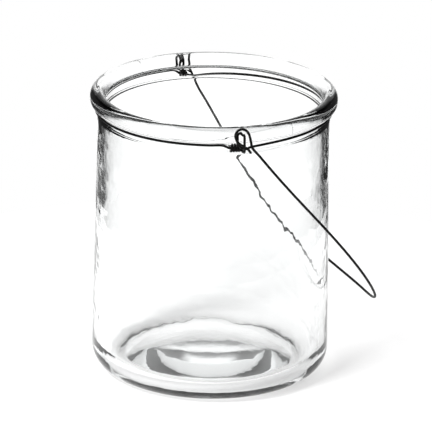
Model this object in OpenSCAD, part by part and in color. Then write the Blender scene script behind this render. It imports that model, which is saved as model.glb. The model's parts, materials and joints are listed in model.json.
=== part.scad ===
// A round glass jar with a fat rolled rim, a two-piece wire ring round its neck and a wire
// bail that swings on the ring. The origin is the centre of the foot, with +Z up.

/* [Glass jar] */
// Height of the jar, foot to rim
jar_height = 126; // [110:1:160]
// Diameter over the rolled rim
rim_d = 107; // [107:0.5:116]
// Diameter of the mouth and of the straight bore below it
mouth_d = 94.4; // [84:0.2:94.8]
// Diameter of the body just below the shoulder
body_d = 100.4; // [100:0.2:101]
// Diameter of the body at the foot
foot_d = 103.4; // [102:0.2:105]
// Height of the floor's edge above the foot
floor_edge = 4; // [4:0.5:7]
// Height of the dome in the middle of the floor
floor_dome = 9; // [5:0.5:9]
// Radius of the corner between floor and wall, inside
heel_round = 9.5; // [9:0.25:10]
// Radius of the corner at the foot, outside
foot_round = 9.5; // [4:0.5:9.5]
// Depth of the push-up under the floor
push_up = 2; // [0.4:0.2:2.4]

/* [Neck and rim] */
// Height of the rolled rim
rim_height = 6.7; // [6:0.1:6.9]
// Diameter of the neck, where the wire ring sits
neck_d = 99; // [98:0.2:99]
// Height of the neck
neck_height = 4.2; // [4.2:0.1:6]
// Radius of the rim's upper outer corner
rim_top_round = 3.2; // [2.2:0.1:3.3]
// Radius of the rim's lower outer corner
rim_under_round = 2.6; // [1.4:0.1:2.7]

/* [Wire] */
// Diameter of the wire
wire_d = 1.1; // [0.9:0.05:1.1]
// Diameter of the neck ring, to the middle of its wire
ring_d = 101.8; // [101.8:0.1:102.4]
// Turns of the right wire round the left one at the front knot
front_turns = 4; // [2:1:4]
// Turns of the right wire round the left one at the back knot
back_turns = 2; // [2:1:4]
// How much lower the ring sits at the back than at the front
ring_sag = 1.7; // [0:0.1:1.8]
// How much lower than that the back eyelet is bent
back_eyelet_drop = 1.3; // [0:0.1:1.5]
// How far the left wire rides up again before the back knot
left_lift = 2; // [0:0.1:2]
// How far the right wire hangs down beside the knots
right_sag = 2.2; // [0:0.1:2.2]

/* [Handle] */
// Turn of the hinge line about the jar
hinge_turn = 14; // [0:1:30]
// Angle of the resting handle below the horizontal
handle_droop = 53; // [50:1:56]
// Length of the handle, from the hinge line to the top of its arch
handle_length = 119.3; // [116:0.1:124]
// Angle by which each leg leans in
leg_lean = 8; // [6:1:12]
// Bend of the front leg out of the handle's plane, away from the jar
front_bow = 2; // [0:0.1:3]
// Bend of the back leg out of the handle's plane, towards the jar
back_bow = 7.2; // [4:0.1:7.5]
// How far the arch is twisted out of the handle's plane
arch_twist = 3.2; // [0:0.1:4]

/* [Hidden] */
$fn = 96;
wire_sides = 10;
wire_r = wire_d / 2;
cut = 1;

rim_r = rim_d / 2;
mouth_r = mouth_d / 2;
body_r = body_d / 2;
foot_r = foot_d / 2;
neck_r = neck_d / 2;
rim_z = jar_height - rim_height;
shoulder_z = rim_z - neck_height;
shoulder_round = 1.5;
lip_round = 2.4;
push_up_r = 41;
floor_flat = 0.7;
floor_dome_r = mouth_r - heel_round - floor_flat;

// The ring: two wires, tilted as one by the sag. The knots stand a little to the left.
ring_r = ring_d / 2;
ring_z = rim_z - 1;
ring_tilt = asin(ring_sag / ring_d);
knot_turn = 1.9;
knot_side = ring_r * knot_turn * PI / 180;
right_way = PI * ring_r + 2 * knot_side;
left_way = PI * ring_r - 2 * knot_side;

// The binding: a coil of the right wire round the straight end of the left wire, below the rim.
binding_r = 1.3;
binding_gap = 0.12;
binding_axis_r = neck_r + 0.3 + wire_r + binding_r;
binding_axis_z = rim_z - binding_gap - wire_r - binding_r;
back_binding_z = binding_axis_z + 1;
binding_pitch = 1.15;
binding_end = 1.2;

// Where the free run of the left wire begins beyond each coil, and of the right wire beyond each eyelet.
left_free = 2.4;
right_free = 5.5;
front_end = front_turns * binding_pitch + left_free;
back_end = back_turns * binding_pitch + left_free;
right_sag_way = 11;

// The eyelet: a narrow upright loop that stands clear of the rim. Its straight top is the hinge pin.
eyelet_gap = 0.3;
eyelet_in_r = rim_r + eyelet_gap + wire_r;
eyelet_half = 1.4;
eyelet_spread = 1.1;
eyelet_mid_r = eyelet_in_r + eyelet_half;
eyelet_out_r = eyelet_mid_r + eyelet_half;
pin_z = jar_height - 1.1;
pin_half = 0.6;
pin_skin = 0.05;
pin_length = 2 * pin_half + 0.25;
corner_r = eyelet_half - pin_half;

// The hinge line, through both pins.
hinge_x = -eyelet_mid_r * sin(knot_turn);
hinge_half = eyelet_mid_r * cos(knot_turn);
hinge_tilt = atan(back_eyelet_drop / (2 * hinge_half));

front_skew = -0.9;
back_skew = 1.6;
arch_r = (hinge_half * cos(leg_lean) - handle_length * sin(leg_lean)) / (1 - sin(leg_lean));
arch_start = handle_length - arch_r * (1 - sin(leg_lean));
leg_root = 15;

// ---- Curves

// One point of a smooth curve between b and c, with a and d the points on either side.
function between(a, b, c, d, t) =
    0.5 * (2 * b + (c - a) * t + (2 * a - 5 * b + 4 * c - d) * t * t + (3 * b - a - 3 * c + d) * t * t * t);

// A smooth curve through every point of p, with steps pieces between neighbours.
function smooth(p, steps) = let (last = len(p) - 1) concat(
    [for (i = [0 : last - 1]) for (k = [0 : steps - 1])
        between(p[max(i - 1, 0)], p[i], p[i + 1], p[min(i + 2, last)], k / steps)],
    [p[last]]);

function unit(v) = v / norm(v);

function reversed(p) = [for (i = [len(p) - 1 : -1 : 0]) p[i]];

// The direction of a path at each of its points.
function directions(p) = let (last = len(p) - 1)
    [for (i = [0 : last]) unit(p[min(i + 1, last)] - p[max(i - 1, 0)])];

// A side vector at each point of a path, carried along it without twist.
function sides(d, first) =
    [for (i = 0, s = unit(first - (first * d[0]) * d[0]); i < len(d);
          i = i + 1, s = i < len(d) ? unit(s - (s * d[i]) * d[i]) : s) s];

// A round wire along a path.
module wire(p) {
    d = directions(p);
    s = sides(d, abs(d[0].z) < 0.9 ? [0, 0, 1] : [1, 0, 0]);
    n = wire_sides;
    rings = len(p);
    skin = [for (i = [0 : rings - 1]) for (k = [0 : n - 1])
        p[i] + wire_r * (cos(k * 360 / n) * s[i] + sin(k * 360 / n) * cross(d[i], s[i]))];
    walls = [for (i = [0 : rings - 2]) for (k = [0 : n - 1])
        [i * n + k, i * n + (k + 1) % n, (i + 1) * n + (k + 1) % n, (i + 1) * n + k]];
    first_cap = [[for (k = [n - 1 : -1 : 0]) k]];
    last_cap = [[for (k = [0 : n - 1]) (rings - 1) * n + k]];
    polyhedron(points = skin, faces = [for (f = concat(walls, first_cap, last_cap)) reversed(f)]);
}

// Tilts what stands on the point at radius r and height z in front, by sinking its back.
module sunk(tilt, r, z) {
    translate([0, -r, z])
        rotate([-tilt, 0, 0])
            translate([0, r, -z])
                children();
}

// Wires are drawn with the ring level and the knots towards -Y and +Y, then set on the jar.
module on_jar() {
    rotate([0, 0, hinge_turn])
        sunk(ring_tilt, ring_r, ring_z)
            children();
}

// ---- Glass jar

// Outline of the glass from the axis outwards, as if the jar were solid.
module jar_outside() {
    polygon([[0, 0], [foot_r - foot_round, 0], [foot_r, foot_round], [body_r, shoulder_z - shoulder_round],
        [body_r - shoulder_round, shoulder_z], [0, shoulder_z]]);
    translate([foot_r - foot_round, foot_round])
        circle(foot_round);
    translate([body_r - shoulder_round, shoulder_z - shoulder_round])
        circle(shoulder_round);
    translate([0, shoulder_z - cut])
        square([neck_r, neck_height + 2 * cut]);
    polygon([[0, rim_z], [rim_r - rim_under_round, rim_z], [rim_r, rim_z + rim_under_round],
        [rim_r, jar_height - rim_top_round], [rim_r - rim_top_round, jar_height], [0, jar_height]]);
    translate([rim_r - rim_top_round, jar_height - rim_top_round])
        circle(rim_top_round);
    translate([rim_r - rim_under_round, rim_z + rim_under_round])
        circle(rim_under_round);
}

// Outline of a ball that shows as a shallow cap of radius r and height h above height z.
module cap(r, h, z) {
    ball_r = (r * r + h * h) / (2 * h);
    translate([0, z + h - ball_r])
        circle(ball_r, $fn = round(2 * ball_r));
}

// Outline of the hollow, open at the mouth, with its rounded heel and the dome of its floor.
module jar_hollow() {
    difference() {
        union() {
            polygon([[0, floor_edge], [mouth_r - heel_round, floor_edge],
                [mouth_r, floor_edge + heel_round], [mouth_r, jar_height + cut], [0, jar_height + cut]]);
            translate([mouth_r - heel_round, floor_edge + heel_round])
                circle(heel_round);
        }
        cap(floor_dome_r, floor_dome, floor_edge);
    }
}

// The corner taken off the inner edge of the rim.
module lip_corner() {
    difference() {
        translate([mouth_r - cut, jar_height - lip_round])
            square([lip_round + cut, lip_round + cut]);
        translate([mouth_r + lip_round, jar_height - lip_round])
            circle(lip_round);
    }
}

module glass_jar() {
    color([0.82, 0.88, 0.87, 0.4])
        rotate_extrude()
            difference() {
                jar_outside();
                jar_hollow();
                lip_corner();
                cap(push_up_r, push_up, 0);
            }
}

// ---- Neck wires

// A point by the ring: s along it from the front knot towards +X, rho out from the axis.
function on_ring(s, rho, z) = let (turn = s / ring_r * 180 / PI - knot_turn)
    [rho * sin(turn), -rho * cos(turn), z];

function coil(turns, z) = [for (a = [0 : 40 : turns * 360])
    on_ring(binding_end + (a / 360 - turns) * binding_pitch, binding_axis_r + binding_r * sin(a),
        z - binding_r * cos(a))];

// A point of the eyelet's outer (side 1) or inner (side -1) top corner, a degrees round it.
function eyelet_corner(side, a, top) = [
    hinge_x + side * eyelet_spread * (1 - sin(a)),
    -hinge_half - side * (pin_half + corner_r * abs(cos(a))),
    top - corner_r * (1 - sin(a))];

// From the end of its coil, the right wire rises as the eyelet and comes down to the ring.
function knot(turns, z, top) = concat(
    coil(turns, z),
    [on_ring(binding_end + 0.3, binding_axis_r + 2.2, z - binding_r - 0.1),
     on_ring(binding_end + 0.2, eyelet_mid_r, z - 0.6),
     on_ring(eyelet_spread + 0.1, eyelet_out_r - 0.15, z + 0.9),
     on_ring(eyelet_spread, eyelet_out_r, z + 3)],
    [for (a = [0 : 30 : 90]) eyelet_corner(1, a, top)],
    [for (a = [90 : 30 : 180]) eyelet_corner(-1, a, top)],
    [on_ring(-eyelet_spread, eyelet_in_r, top - 3.4),
     on_ring(-eyelet_spread + 0.2, eyelet_in_r - 0.3, rim_z + 0.3),
     on_ring(0.6, ring_r + 3.1, ring_z - 0.3),
     on_ring(2, ring_r + 2.3, ring_z - 1.3),
     on_ring(3.6, ring_r + 1.1, ring_z - 1.5)]);

// How far the right wire hangs below the ring's level, most beside the knots.
function sag(s) = right_sag * (exp(-s / right_sag_way) + exp((s - right_way) / right_sag_way));

// The same path at the back knot instead of the front one, run the other way.
function at_back(p) = reversed([for (q = p) [q.x, -q.y, q.z]]);

module right_neck_wire() {
    color([0.10, 0.10, 0.10])
        on_jar() {
            wire(smooth(concat(
                knot(front_turns, binding_axis_z, pin_z),
                [for (k = [0 : 22]) let (s = right_free + (right_way - 2 * right_free) * k / 22)
                    on_ring(s, ring_r, ring_z - sag(s))],
                at_back(knot(back_turns, back_binding_z, pin_z - back_eyelet_drop))), 2));
            sunk(hinge_tilt, hinge_half, pin_z)
                for (side = [-1, 1])
                    translate([hinge_x, side * hinge_half, pin_z])
                        rotate([90, 0, 0])
                            cylinder(r = wire_r + pin_skin, h = pin_length, center = true);
        }
}

// Straight inside the coil, then out to the ring on the left.
function left_end(turns, z) = [for (part = [0 : 0.25 : 1])
    on_ring(binding_end + 0.3 - (turns * binding_pitch + 0.9) * part, binding_axis_r, z)];

// The left wire rides up from the sag over the last third of its way round.
function lift(s) = let (t = min(max((s / left_way - 0.55) / 0.35, 0), 1)) left_lift * t * t * (3 - 2 * t);

module left_neck_wire() {
    color([0.13, 0.13, 0.13])
        on_jar()
            wire(smooth(concat(
                left_end(front_turns, binding_axis_z),
                [for (k = [0 : 22]) let (s = front_end + (left_way - front_end - back_end) * k / 22)
                    on_ring(-s, ring_r, ring_z + lift(s))],
                at_back(left_end(back_turns, back_binding_z))), 2));
}

// ---- Handle

// A point of the handle: w along the hinge line, l out along the handle, c square to its plane.
function on_handle(w, l, c) = [
    hinge_x + l * cos(handle_droop) + c * sin(handle_droop),
    w,
    pin_z - l * sin(handle_droop) + c * cos(handle_droop)];

// How far the handle stands out of its plane: the bow of the leg on this side, and the twist.
function out_of_plane(w, l) = let (turn = 180 * l / handle_length)
    (w < 0 ? front_bow * sin(turn) + front_skew * sin(2 * turn)
           : -back_bow * sin(turn) + back_skew * sin(2 * turn))
    - arch_twist * w / hinge_half * pow(l / handle_length, 2);

// The open hook at each end, in the plane square to the pin: its tail, then over the pin to the leg.
tail = [[4.2, -8.7], [2.9, -7], [0.7, -5.5], [-1.2, -4], [-2.2, -2.2]];
crook = [[-2.4, -0.4], [-1.5, 1.2], [0.3, 1.9], [2, 1.3], [3.2, -0.1], [3.9, -2.1], [4.4, -4.4], [5.1, -6.9]];
back_tail = 0.7;

function handle_hook(w, tail_scale) = concat(
    [for (q = tail) [hinge_x + q.x, w, pin_z + tail_scale * q.y]],
    [for (q = crook) [hinge_x + q.x, w, pin_z + q.y]]);

function handle_leg(side) = [for (l = [leg_root : (arch_start - leg_root) / 10 : arch_start - 0.1])
    let (w = side * (hinge_half - l * tan(leg_lean))) on_handle(w, l, out_of_plane(w, l))];

function handle_arch() = [for (a = [180 - leg_lean : -10 : leg_lean]) let (
    w = -arch_r * cos(180 - a),
    l = handle_length - arch_r + arch_r * sin(a))
    on_handle(w, l, out_of_plane(w, l))];

module bail_handle() {
    color([0.11, 0.11, 0.11])
        on_jar()
            sunk(hinge_tilt, hinge_half, pin_z)
                wire(smooth(concat(
                    handle_hook(-hinge_half, 1),
                    handle_leg(-1),
                    handle_arch(),
                    reversed(handle_leg(1)),
                    reversed(handle_hook(hinge_half, back_tail))), 3));
}

glass_jar();
left_neck_wire();
right_neck_wire();
bail_handle();
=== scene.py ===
"""Looks of the glass jar lantern: pressed glass, black wire, a pale floor and a bright-field studio."""
import json
import math

import bpy
import numpy as np
from mathutils import Matrix, Vector


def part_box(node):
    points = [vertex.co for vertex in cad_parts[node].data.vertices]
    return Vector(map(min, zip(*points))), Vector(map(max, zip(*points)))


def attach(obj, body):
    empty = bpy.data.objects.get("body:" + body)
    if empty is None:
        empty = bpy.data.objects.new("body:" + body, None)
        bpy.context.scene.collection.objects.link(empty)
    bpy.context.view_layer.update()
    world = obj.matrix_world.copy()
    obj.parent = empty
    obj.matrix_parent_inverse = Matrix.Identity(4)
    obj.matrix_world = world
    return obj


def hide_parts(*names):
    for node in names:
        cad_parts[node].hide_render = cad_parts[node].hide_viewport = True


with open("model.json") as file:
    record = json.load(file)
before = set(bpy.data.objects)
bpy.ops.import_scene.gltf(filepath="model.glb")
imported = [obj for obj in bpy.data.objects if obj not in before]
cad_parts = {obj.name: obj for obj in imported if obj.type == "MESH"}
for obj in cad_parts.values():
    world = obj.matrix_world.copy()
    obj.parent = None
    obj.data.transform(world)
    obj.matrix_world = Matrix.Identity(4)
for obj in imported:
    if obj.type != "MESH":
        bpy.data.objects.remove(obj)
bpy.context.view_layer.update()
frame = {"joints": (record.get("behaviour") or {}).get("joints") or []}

MM = 0.001

# ---------------------------------------------------------------- sizes, in millimetres

jar_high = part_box("glass_jar")[1]
HEIGHT = jar_high.z / MM
RIM_R = jar_high.x / MM
swing = next(j for j in frame["joints"] if j["name"] == "handle_swing")
HINGE_TURN = math.atan2(swing["axis"][0], -swing["axis"][1])

# Glass. These are the sections of the jar in part.scad.
MOUTH_R = RIM_R - 6.3
BODY_R = RIM_R - 3.3
FOOT_R = RIM_R - 1.8
NECK_R = RIM_R - 4.0
RIM_Z = HEIGHT - 6.7
SHOULDER_Z = RIM_Z - 4.2
FLOOR_EDGE = 4.0
FLOOR_DOME = 9.0
FLOOR_DOME_R = 37.0
HEEL = 9.5
FOOT_ROUND = 9.5
PUSH_UP = 2.0
PUSH_UP_R = 41.0
RIM_TOP_ROUND = 3.2
RIM_UNDER_ROUND = 2.6
LIP_ROUND = 2.4
SHOULDER_ROUND = 1.5
NECK_FILLET = 0.8

# Pressed glass: ripples of the walls (height, then longest and shortest wave) and the two mould seams.
INNER_WAVE, INNER_LONG, INNER_SHORT = 0.05, 26, 7
FINE_WAVE, FINE_LONG, FINE_SHORT = 0.016, 6, 2.5
OUTER_WAVE, OUTER_LONG, OUTER_SHORT = 0.015, 40, 12
LIP_FADE = 6.0
COLUMNS = 320
SEAM_TURN = math.radians(-51)
SEAM_WIDTH = math.radians(0.35)
SEAM_CLEAR = math.radians(1.2)
SEAM_HEIGHT = 0.10

# Wires, in the ring's own frame: level, with the knots towards -Y and +Y.
WIRE_R = 0.55
WIRE_SIDES = 16
RING_R = 50.9
RING_Z = RIM_Z - 1.0
RING_TILT = math.asin(1.7 / (2 * RING_R))
KNOT_TURN = math.radians(1.9)
RIGHT_WAY = RING_R * (math.pi + 2 * KNOT_TURN)
LEFT_WAY = RING_R * (math.pi - 2 * KNOT_TURN)
LEFT_LIFT = 2.0
LEFT_LIFT_START, LEFT_LIFT_WAY = 0.55, 0.35
RIGHT_SAG = 2.2
RIGHT_SAG_WAY = 11.0
FRONT_TURNS = 4
BACK_TURNS = 2
COIL_R = 1.3
COIL_AXIS_R = NECK_R + 0.3 + WIRE_R + COIL_R
COIL_AXIS_Z = RIM_Z - 0.12 - WIRE_R - COIL_R
COIL_PITCH = 1.15
COIL_END = 1.2
BACK_COIL_LIFT = 1.0
LEFT_FREE = 2.4
RIGHT_FREE = 5.5
EYELET_HALF = 1.4
EYELET_SPREAD = 1.1
EYELET_IN_R = RIM_R + 0.3 + WIRE_R
EYELET_MID_R = EYELET_IN_R + EYELET_HALF
EYELET_OUT_R = EYELET_MID_R + EYELET_HALF
BACK_EYELET_DROP = 1.3
PIN_Z = HEIGHT - 1.1
PIN_HALF = 0.6
HINGE_X = -EYELET_MID_R * math.sin(KNOT_TURN)
HINGE_HALF = EYELET_MID_R * math.cos(KNOT_TURN)
HINGE_TILT = math.atan(BACK_EYELET_DROP / (2 * HINGE_HALF))

# Handle
DROOP = math.radians(53)
HANDLE_LENGTH = 119.3
LEG_LEAN = math.radians(8)
LEG_ROOT = 15.0
FRONT_BOW, FRONT_SKEW = 2.0, -0.9
BACK_BOW, BACK_SKEW = -7.2, 1.6
ARCH_TWIST = 3.2
ARCH_R = (HINGE_HALF * math.cos(LEG_LEAN) - HANDLE_LENGTH * math.sin(LEG_LEAN)) / (1 - math.sin(LEG_LEAN))
ARCH_START = HANDLE_LENGTH - ARCH_R * (1 - math.sin(LEG_LEAN))
ARCH_JOIN = 7.0

# Camera: far away, looking down on the jar, turned a little about its own axis.
CAMERA_DISTANCE = 2000.0
CAMERA_ELEVATION = math.radians(20.64)
CAMERA_ROLL = math.radians(1.05)
CAMERA_LENS = 382.9
AIM = (1.8, 0.0, 60.0)
AIM_LIFT = 7.2

# Light: the levels of the backdrop seen through the glass, of its dark sides, of the dark ceiling, of what
# lies behind the camera, and of the sky on the floor; and where each ramp begins and ends in camera space.
THROUGH_LEVEL = 1.3
SIDE_LEVEL = 0.1
SIDE_START, SIDE_END = 0.19, 0.38
CEILING_LEVEL = 0.2
CEILING_START, CEILING_END = 0.54, 0.7
NEAR_LEVEL = 0.3
NEAR_RANGE = 0.3
SKY_LEVEL = 0.75

# Softbox, in watts and metres, and the table, in millimetres.
KEY_POWER = 12.0
KEY_SIZE = 0.45
KEY_PLACE = (-0.55, -0.55, 0.85)
TABLE_R = 205.0
TABLE_DROP = 0.02


# ---------------------------------------------------------------- curves and meshes

def line(start, end, count):
    """Points from start towards end, without end."""
    steps = np.linspace(0, 1, count, endpoint=False)[:, None]
    return np.array(start) + steps * (np.array(end) - np.array(start))


def arc(centre, radius, first, last, count):
    """Points on a circle from angle first to angle last in degrees, without the last."""
    angles = np.radians(np.linspace(first, last, count, endpoint=False))
    return np.array(centre) + radius * np.stack([np.cos(angles), np.sin(angles)], 1)


def cap(radius, height, base, count):
    """A shallow dome of this radius and height over base, from the axis outwards, without its edge."""
    ball = (radius ** 2 + height ** 2) / (2 * height)
    r = np.linspace(0.01, radius, count, endpoint=False)
    return np.stack([r, base + height - ball + np.sqrt(ball ** 2 - r ** 2)], 1)


def smooth(points, steps):
    """A Catmull-Rom curve through every point, with steps pieces between neighbours."""
    points = np.array(points, float)
    padded = np.vstack([points[:1], points, points[-1:]])
    pieces = []
    for i in range(len(points) - 1):
        a, b, c, d = padded[i:i + 4]
        for t in np.arange(steps) / steps:
            cubic = (2 * b + (c - a) * t + (2 * a - 5 * b + 4 * c - d) * t ** 2
                     + (3 * b - a - 3 * c + d) * t ** 3)
            pieces.append(0.5 * cubic)
    pieces.append(points[-1])
    return np.array(pieces)


def new_mesh(name, points, faces):
    """A smooth-shaded mesh object from points in millimetres."""
    mesh = bpy.data.meshes.new(name)
    mesh.from_pydata([tuple(p) for p in np.asarray(points) * MM], [], faces)
    mesh.validate()
    mesh.polygons.foreach_set("use_smooth", [True] * len(mesh.polygons))
    piece = bpy.data.objects.new(name, mesh)
    bpy.context.scene.collection.objects.link(piece)
    return piece


def tube(name, path, radius, sides=WIRE_SIDES):
    """A round wire along path, with domed ends."""
    path = np.asarray(path, float)
    ahead = np.gradient(path, axis=0)
    ahead /= np.linalg.norm(ahead, axis=1)[:, None]
    side = np.array([0, 0, 1.0]) if abs(ahead[0][2]) < 0.9 else np.array([1.0, 0, 0])
    around = np.arange(sides) * 2 * math.pi / sides
    dome = np.radians([80, 60, 40, 20])
    rings = []

    def ring(centre, direction, across, size):
        across = across - (across @ direction) * direction
        across /= np.linalg.norm(across)
        up = np.cross(direction, across)
        rings.append(centre + size * (np.outer(np.cos(around), across) + np.outer(np.sin(around), up)))
        return across

    for angle in dome:
        tip = path[0] - ahead[0] * radius * math.sin(angle)
        side = ring(tip, ahead[0], side, radius * math.cos(angle))
    for centre, direction in zip(path, ahead):
        side = ring(centre, direction, side, radius)
    for angle in dome[::-1]:
        tip = path[-1] + ahead[-1] * radius * math.sin(angle)
        side = ring(tip, ahead[-1], side, radius * math.cos(angle))
    faces = []
    for i in range(len(rings) - 1):
        for k in range(sides):
            j = (k + 1) % sides
            faces.append((i * sides + k, i * sides + j, (i + 1) * sides + j, (i + 1) * sides + k))
    faces.append(tuple(range(sides))[::-1])
    faces.append(tuple((len(rings) - 1) * sides + k for k in range(sides)))
    return new_mesh(name, np.vstack(rings), faces)


# ---------------------------------------------------------------- materials

def new_material(name):
    material = bpy.data.materials.new(name)
    material.use_nodes = True
    material.node_tree.nodes.clear()
    return material


class Nodes:
    """Short way to add and join the nodes of one tree."""

    def __init__(self, tree):
        self.tree = tree

    def add(self, kind, inputs=None, **settings):
        node = self.tree.nodes.new(kind)
        for key, value in settings.items():
            setattr(node, key, value)
        for key, value in (inputs or {}).items():
            if isinstance(value, bpy.types.NodeSocket):
                self.tree.links.new(value, node.inputs[key])
            else:
                node.inputs[key].default_value = value
        return node

    def math(self, operation, a, b=0.0, c=0.0, clamp=False):
        return self.add("ShaderNodeMath", {0: a, 1: b, 2: c}, operation=operation, use_clamp=clamp).outputs[0]

    def ramp(self, factor, low, high, to_low=0.0, to_high=1.0):
        """A smooth step of factor between low and high."""
        node = self.add("ShaderNodeMapRange", {0: factor, 1: low, 2: high, 3: to_low, 4: to_high})
        node.interpolation_type = "SMOOTHSTEP"
        return node.outputs[0]


def glass_material():
    material = new_material("pressed_glass")
    n = Nodes(material.node_tree)
    place = n.add("ShaderNodeTexCoord").outputs["Object"]
    streaks = n.add("ShaderNodeTexNoise", {"Vector": place, "Scale": 60.0, "Detail": 3.0}).outputs["Fac"]
    rough = n.ramp(streaks, 0.45, 0.8, 0.0, 0.03)
    bump = n.add("ShaderNodeBump", {"Height": streaks, "Strength": 0.25, "Distance": 0.0005}).outputs[0]
    tint = n.add("ShaderNodeMixRGB", {0: streaks, 1: (0.99, 0.992, 0.992, 1), 2: (0.98, 0.983, 0.983, 1)})
    glass = n.add("ShaderNodeBsdfGlass", {"Color": tint.outputs[0], "Roughness": rough,
                                          "IOR": 1.5, "Normal": bump})
    facing = n.add("ShaderNodeLayerWeight", {"Blend": 0.5}).outputs["Facing"]
    shade = n.ramp(facing, 0.3, 1.0, 0.97, 0.35)
    through = n.add("ShaderNodeBsdfTransparent", {"Color": shade})
    path = n.add("ShaderNodeLightPath")
    soft = n.math("MAXIMUM", path.outputs["Is Shadow Ray"], path.outputs["Is Diffuse Ray"])
    mix = n.add("ShaderNodeMixShader", {0: soft, 1: glass.outputs[0], 2: through.outputs[0]})
    n.add("ShaderNodeOutputMaterial", {"Surface": mix.outputs[0]})
    return material


def wire_material():
    material = new_material("black_annealed_wire")
    n = Nodes(material.node_tree)
    place = n.add("ShaderNodeTexCoord").outputs["Object"]
    grain = n.add("ShaderNodeTexNoise", {"Vector": place, "Scale": 900.0, "Detail": 4.0}).outputs["Fac"]
    blotch = n.add("ShaderNodeTexNoise", {"Vector": place, "Scale": 120.0, "Detail": 2.0}).outputs["Fac"]
    colour = n.add("ShaderNodeMixRGB", {0: blotch, 1: (0.003, 0.003, 0.003, 1), 2: (0.01, 0.0098, 0.0095, 1)})
    rough = n.ramp(grain, 0.3, 0.7, 0.35, 0.6)
    bump = n.add("ShaderNodeBump", {"Height": grain, "Strength": 0.25, "Distance": 0.0001}).outputs[0]
    surface = n.add("ShaderNodeBsdfPrincipled", {"Base Color": colour.outputs[0], "Roughness": rough,
                                                 "Specular IOR Level": 0.1, "Normal": bump})
    n.add("ShaderNodeOutputMaterial", {"Surface": surface.outputs[0]})
    return material


def floor_material():
    material = new_material("pale_table")
    n = Nodes(material.node_tree)
    place = n.add("ShaderNodeTexCoord").outputs["Object"]
    fine = n.add("ShaderNodeTexNoise", {"Vector": place, "Scale": 300.0, "Detail": 2.0}).outputs["Fac"]
    colour = n.add("ShaderNodeMixRGB", {0: fine, 1: (0.97, 0.97, 0.97, 1), 2: (0.99, 0.99, 0.99, 1)})
    surface = n.add("ShaderNodeBsdfDiffuse", {"Color": colour.outputs[0]})
    n.add("ShaderNodeOutputMaterial", {"Surface": surface.outputs[0]})
    return material


GLASS = glass_material()
BLACK_WIRE = wire_material()


# ---------------------------------------------------------------- the glass jar

def outside_section():
    """Outline of the outside, from the axis under the floor, up the wall and over to the top of the rim."""
    foot_centre = (FOOT_R - FOOT_ROUND, FOOT_ROUND)
    return np.vstack([
        cap(PUSH_UP_R, PUSH_UP, 0, 60),
        line((PUSH_UP_R, 0), (foot_centre[0], 0), 3),
        arc(foot_centre, FOOT_ROUND, -90, 0, 14),
        line((FOOT_R, FOOT_ROUND), (BODY_R, SHOULDER_Z - SHOULDER_ROUND), 70),
        arc((BODY_R - SHOULDER_ROUND, SHOULDER_Z - SHOULDER_ROUND), SHOULDER_ROUND, 0, 70, 6),
        arc((NECK_R + NECK_FILLET, SHOULDER_Z + NECK_FILLET), NECK_FILLET, 250, 180, 4),
        line((NECK_R, SHOULDER_Z + NECK_FILLET), (NECK_R, RIM_Z - NECK_FILLET), 4),
        arc((NECK_R + NECK_FILLET, RIM_Z - NECK_FILLET), NECK_FILLET, 180, 90, 4),
        line((NECK_R + NECK_FILLET, RIM_Z), (RIM_R - RIM_UNDER_ROUND, RIM_Z), 2),
        arc((RIM_R - RIM_UNDER_ROUND, RIM_Z + RIM_UNDER_ROUND), RIM_UNDER_ROUND, -90, 0, 8),
        line((RIM_R, RIM_Z + RIM_UNDER_ROUND), (RIM_R, HEIGHT - RIM_TOP_ROUND), 3),
        arc((RIM_R - RIM_TOP_ROUND, HEIGHT - RIM_TOP_ROUND), RIM_TOP_ROUND, 0, 90, 12),
    ])


def inside_section():
    """Outline of the inside, from the top of the rim down the wall and over the floor to the axis."""
    return np.vstack([
        line((RIM_R - RIM_TOP_ROUND, HEIGHT), (MOUTH_R + LIP_ROUND, HEIGHT), 2),
        arc((MOUTH_R + LIP_ROUND, HEIGHT - LIP_ROUND), LIP_ROUND, 90, 180, 10),
        line((MOUTH_R, HEIGHT - LIP_ROUND), (MOUTH_R, FLOOR_EDGE + HEEL), 90),
        arc((MOUTH_R - HEEL, FLOOR_EDGE + HEEL), HEEL, 0, -90, 20),
        line((MOUTH_R - HEEL, FLOOR_EDGE), (FLOOR_DOME_R, FLOOR_EDGE), 4),
        cap(FLOOR_DOME_R, FLOOR_DOME, FLOOR_EDGE, 80)[::-1],
    ])


def around_angles():
    """Angles of the jar's mesh columns, closer together across the two mould seams."""
    even = np.linspace(-math.pi, math.pi, COLUMNS, endpoint=False)
    near = np.radians(np.array([-0.8, -0.6, -0.45, -0.3, -0.15, 0, 0.15, 0.3, 0.45, 0.6, 0.8]))
    seams = [(SEAM_TURN + turn + math.pi) % (2 * math.pi) - math.pi for turn in (0, math.pi)]
    kept = [a for a in even if all(abs(a - s) > SEAM_CLEAR for s in seams)]
    return np.sort(np.concatenate([kept] + [s + near for s in seams])), seams


def ripple(angle, height, seed, count, longest, shortest, radius):
    """Gentle random waves over a wall of this radius: a sum of sines whose heights add to about one."""
    draw = np.random.default_rng(seed)
    total = np.zeros(np.broadcast(angle, height).shape)
    for _ in range(count):
        length = longest * (shortest / longest) ** draw.random()
        heading = draw.random() * math.pi
        turns = round(2 * math.pi * radius / length * math.cos(heading))
        climb = 2 * math.pi / length * math.sin(heading)
        total += length * np.cos(turns * angle + climb * height + draw.random() * 2 * math.pi)
    return total / (longest * math.sqrt(count))


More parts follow.
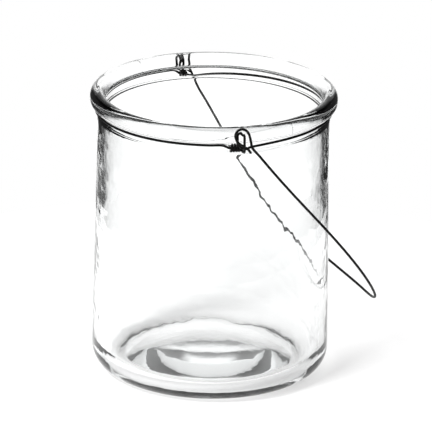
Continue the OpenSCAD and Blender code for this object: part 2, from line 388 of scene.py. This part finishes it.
def make_jar():
    outside = outside_section()
    inside = inside_section()
    section = np.vstack([outside, inside])
    angles, seams = around_angles()
    r = np.repeat(section[:, 0][:, None], len(angles), 1)
    z = np.repeat(section[:, 1][:, None], len(angles), 1)
    a = np.repeat(angles[None, :], len(section), 0)
    is_inside = np.arange(len(section))[:, None] >= len(outside)

    # Pressed glass: the plunger leaves the inner wall rippled, the mould leaves the outside nearly true.
    off_axis = np.clip(r / 20, 0, 1)
    inner_wave = (INNER_WAVE * ripple(a, z, 11, 26, INNER_LONG, INNER_SHORT, MOUTH_R)
                  + FINE_WAVE * ripple(a, z, 13, 40, FINE_LONG, FINE_SHORT, MOUTH_R))
    outer_wave = OUTER_WAVE * ripple(a, z, 12, 16, OUTER_LONG, OUTER_SHORT, BODY_R)
    below_lip = np.clip((HEIGHT - LIP_ROUND - z) / LIP_FADE, 0, 1)
    r = r + np.where(is_inside, inner_wave * below_lip, outer_wave) * off_axis
    from_seam = [(a - s + math.pi) % (2 * math.pi) - math.pi for s in seams]
    seam = sum(np.exp(-(turn / SEAM_WIDTH) ** 2) for turn in from_seam)
    on_rim = np.clip((z - RIM_Z + 0.5) / 1.0, 0, 1) * ~is_inside
    r = r + SEAM_HEIGHT * seam * on_rim

    points = np.stack([r * np.cos(a), r * np.sin(a), z], 2).reshape(-1, 3)
    rows, columns = r.shape
    faces = []
    for i in range(rows - 1):
        for k in range(columns):
            j = (k + 1) % columns
            faces.append((i * columns + k, i * columns + j, (i + 1) * columns + j, (i + 1) * columns + k))
    faces.append(tuple(range(columns))[::-1])
    faces.append(tuple((rows - 1) * columns + k for k in range(columns)))
    jar = new_mesh("glass_jar_body", points, faces)
    jar.data.materials.append(GLASS)
    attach(jar, "jar")
    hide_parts("glass_jar")


# ---------------------------------------------------------------- the neck wires

def on_ring(s, rho, z):
    """s along the ring from the front knot, rho out from the axis."""
    turn = s / RING_R - KNOT_TURN
    return np.array([rho * math.sin(turn), -rho * math.cos(turn), z])


def sunk(points, tilt, r, z):
    """Tilts points about the place at radius r and height z in front, by sinking their back."""
    x, y, up = (np.asarray(points) - [0, -r, z]).T
    return np.stack([x, y * math.cos(tilt) + up * math.sin(tilt) - r,
                     -y * math.sin(tilt) + up * math.cos(tilt) + z], 1)


def on_jar(points):
    """From the ring's own frame to its place on the jar: tilted, then turned to where the handle hangs."""
    x, y, z = sunk(points, RING_TILT, RING_R, RING_Z).T
    cos, sin = math.cos(HINGE_TURN), math.sin(HINGE_TURN)
    return np.stack([x * cos - y * sin, x * sin + y * cos, z], 1)


def at_back(points):
    """The same path at the back knot instead of the front one, run the other way."""
    return [point * [1, -1, 1] for point in reversed(points)]


def knot(turns, coil_z, top):
    """From its coil round the left wire, the right wire makes the eyelet and comes down to the ring."""
    points = [on_ring(COIL_END + (a / 360 - turns) * COIL_PITCH,
                      COIL_AXIS_R + COIL_R * math.sin(math.radians(a)),
                      coil_z - COIL_R * math.cos(math.radians(a)))
              for a in range(0, turns * 360 + 1, 30)]
    points += [on_ring(COIL_END + 0.3, COIL_AXIS_R + 2.2, coil_z - COIL_R - 0.1),
               on_ring(COIL_END + 0.2, EYELET_MID_R, coil_z - 0.6),
               on_ring(EYELET_SPREAD + 0.1, EYELET_OUT_R - 0.15, coil_z + 0.9),
               on_ring(EYELET_SPREAD, EYELET_OUT_R, coil_z + 3)]
    corner = EYELET_HALF - PIN_HALF
    for side, first in ((1, 0), (-1, 90)):
        for a in np.radians(range(first, first + 91, 30)):
            drop = 1 - math.sin(a)
            points.append(np.array([HINGE_X + side * EYELET_SPREAD * drop,
                                    -HINGE_HALF - side * (PIN_HALF + corner * abs(math.cos(a))),
                                    top - corner * drop]))
    points += [on_ring(-EYELET_SPREAD, EYELET_IN_R, top - 3.4),
               on_ring(-EYELET_SPREAD + 0.2, EYELET_IN_R - 0.3, RIM_Z + 0.3),
               on_ring(0.6, RING_R + 3.1, RING_Z - 0.3),
               on_ring(2.0, RING_R + 2.3, RING_Z - 1.3),
               on_ring(3.6, RING_R + 1.1, RING_Z - 1.5)]
    return points


def right_sag(s):
    """How far the right wire hangs below the ring's level, most beside the knots."""
    return RIGHT_SAG * (math.exp(-s / RIGHT_SAG_WAY) + math.exp((s - RIGHT_WAY) / RIGHT_SAG_WAY))


def right_ring_path():
    """Coil, eyelet and ring on the right, then the back eyelet and coil."""
    ring = [on_ring(s, RING_R, RING_Z - right_sag(s))
            for s in np.linspace(RIGHT_FREE, RIGHT_WAY - RIGHT_FREE, 30)]
    back = knot(BACK_TURNS, COIL_AXIS_Z + BACK_COIL_LIFT, PIN_Z - BACK_EYELET_DROP)
    return smooth(knot(FRONT_TURNS, COIL_AXIS_Z, PIN_Z) + ring + at_back(back), 6)


def left_ring_path():
    """Straight ends inside the two coils, and the ring on the left between them."""
    def end(turns, coil_z):
        inner, outer = COIL_END + 0.3, COIL_END - turns * COIL_PITCH - 0.6
        return [on_ring(s, COIL_AXIS_R, coil_z) for s in np.linspace(inner, outer, 5)]

    ring = []
    first = FRONT_TURNS * COIL_PITCH + LEFT_FREE
    last = LEFT_WAY - BACK_TURNS * COIL_PITCH - LEFT_FREE
    for s in np.linspace(first, last, 30):
        t = np.clip((s / LEFT_WAY - LEFT_LIFT_START) / LEFT_LIFT_WAY, 0, 1)
        ring.append(on_ring(-s, RING_R, RING_Z + LEFT_LIFT * t * t * (3 - 2 * t)))
    back = end(BACK_TURNS, COIL_AXIS_Z + BACK_COIL_LIFT)
    return smooth(end(FRONT_TURNS, COIL_AXIS_Z) + ring + at_back(back), 6)


def make_neck_wires():
    for side, path in (("right", right_ring_path()), ("left", left_ring_path())):
        wire = tube(side + "_ring_wire", on_jar(path), WIRE_R)
        wire.data.materials.append(BLACK_WIRE)
        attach(wire, "neck_ring")
        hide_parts(side + "_neck_wire")


# ---------------------------------------------------------------- the handle

# The open hook at each end, sideways and up from the pin: its tail, then over the pin to the leg.
TAIL = [(4.2, -8.7), (2.9, -7.0), (0.7, -5.5), (-1.2, -4.0), (-2.2, -2.2)]
CROOK = [(-2.4, -0.4), (-1.5, 1.2), (0.3, 1.9), (2.0, 1.3), (3.2, -0.1), (3.9, -2.1), (4.4, -4.4),
         (5.1, -6.9)]
BACK_TAIL = 0.7


def on_handle(w, l):
    """A point of the handle: w along the hinge line, l out along the handle."""
    bow, skew = (FRONT_BOW, FRONT_SKEW) if w < 0 else (BACK_BOW, BACK_SKEW)
    turn = math.pi * l / HANDLE_LENGTH
    twist = ARCH_TWIST * w / HINGE_HALF * (l / HANDLE_LENGTH) ** 2
    c = bow * math.sin(turn) + skew * math.sin(2 * turn) - twist
    return np.array([HINGE_X + l * math.cos(DROOP) + c * math.sin(DROOP), w,
                     PIN_Z - l * math.sin(DROOP) + c * math.cos(DROOP)])


def handle_path():
    """Front hook, front leg, arch, back leg and back hook."""
    def leg(side):
        return [on_handle(side * (HINGE_HALF - l * math.tan(LEG_LEAN)), l)
                for l in np.linspace(LEG_ROOT, ARCH_START - ARCH_JOIN, 10)]

    def hook(side, tail_scale):
        outline = [(u, v * tail_scale) for u, v in TAIL] + CROOK
        return [np.array([HINGE_X + u, side * HINGE_HALF, PIN_Z + v]) for u, v in outline]

    arch = [on_handle(-ARCH_R * math.cos(a), HANDLE_LENGTH - ARCH_R + ARCH_R * math.sin(a))
            for a in np.linspace(LEG_LEAN, math.pi - LEG_LEAN, 17)]
    return smooth(hook(-1, 1) + leg(-1) + arch + leg(1)[::-1] + hook(1, BACK_TAIL)[::-1], 8)


def make_handle():
    handle = tube("wire_handle", on_jar(sunk(handle_path(), HINGE_TILT, HINGE_HALF, PIN_Z)), WIRE_R)
    handle.data.materials.append(BLACK_WIRE)
    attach(handle, "handle")
    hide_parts("bail_handle")


# ---------------------------------------------------------------- floor, light and camera

def make_floor():
    angles = np.linspace(0, 2 * math.pi, 96, endpoint=False)
    points = [(TABLE_R * math.cos(a), TABLE_R * math.sin(a), -TABLE_DROP) for a in angles]
    floor = new_mesh("floor", points, [tuple(range(len(points)))])
    floor.data.materials.append(floor_material())


def make_world():
    """White behind the object and dark to its sides, seen from wherever the camera stands."""
    world = bpy.data.worlds.new("studio")
    bpy.context.scene.world = world
    world.use_nodes = True
    world.node_tree.nodes.clear()
    n = Nodes(world.node_tree)
    seen = n.add("ShaderNodeSeparateXYZ", {0: n.add("ShaderNodeTexCoord").outputs["Camera"]})
    side = n.math("ABSOLUTE", seen.outputs["X"])
    sides = n.ramp(side, SIDE_START, SIDE_END, THROUGH_LEVEL, SIDE_LEVEL)
    behind = n.ramp(seen.outputs["Z"], -NEAR_RANGE, NEAR_RANGE, NEAR_LEVEL, 1.0)
    ceiling = n.ramp(seen.outputs["Y"], CEILING_START, CEILING_END, 1.0, CEILING_LEVEL)
    level = n.math("MULTIPLY", n.math("MULTIPLY", sides, behind), ceiling)
    path = n.add("ShaderNodeLightPath")
    level = n.add("ShaderNodeMix", {0: path.outputs["Is Diffuse Ray"], 2: level, 3: SKY_LEVEL}).outputs[0]
    level = n.add("ShaderNodeMix", {0: path.outputs["Is Camera Ray"], 2: level, 3: 1.0}).outputs[0]
    background = n.add("ShaderNodeBackground", {"Color": level, "Strength": 1.0})
    n.add("ShaderNodeOutputWorld", {"Surface": background.outputs[0]})


def make_key_light():
    light = bpy.data.lights.new("softbox", "AREA")
    light.shape = "RECTANGLE"
    light.size = KEY_SIZE
    light.size_y = KEY_SIZE
    light.energy = KEY_POWER
    softbox = bpy.data.objects.new("softbox", light)
    softbox.location = KEY_PLACE
    softbox.rotation_euler = (Vector((0, 0, 0)) - softbox.location).to_track_quat("-Z", "Y").to_euler()
    softbox.visible_camera = False
    softbox.visible_glossy = False
    softbox.visible_transmission = False
    bpy.context.scene.collection.objects.link(softbox)


def make_camera():
    forward = Vector((0, math.cos(CAMERA_ELEVATION), -math.sin(CAMERA_ELEVATION)))
    up = Vector((0, math.sin(CAMERA_ELEVATION), math.cos(CAMERA_ELEVATION)))
    place = Vector((0, 0, AIM[2])) - forward * CAMERA_DISTANCE
    aim = Vector(AIM) + up * AIM_LIFT
    camera = bpy.data.objects.new("camera", bpy.data.cameras.new("camera"))
    camera.data.lens = CAMERA_LENS
    camera.location = place * MM
    look = (aim - place).to_track_quat("-Z", "Y").to_matrix()
    camera.rotation_euler = (look @ Matrix.Rotation(CAMERA_ROLL, 3, "Z")).to_euler()
    bpy.context.scene.collection.objects.link(camera)
    bpy.context.scene.camera = camera


def set_render_quality():
    scene = bpy.context.scene
    scene.view_settings.view_transform = "Standard"
    scene.cycles.max_bounces = 24
    scene.cycles.transmission_bounces = 20
    scene.cycles.glossy_bounces = 8
    scene.cycles.transparent_max_bounces = 24
    scene.cycles.use_denoising = True


make_jar()
make_neck_wires()
make_handle()
make_floor()
make_world()
make_key_light()
make_camera()
set_render_quality()
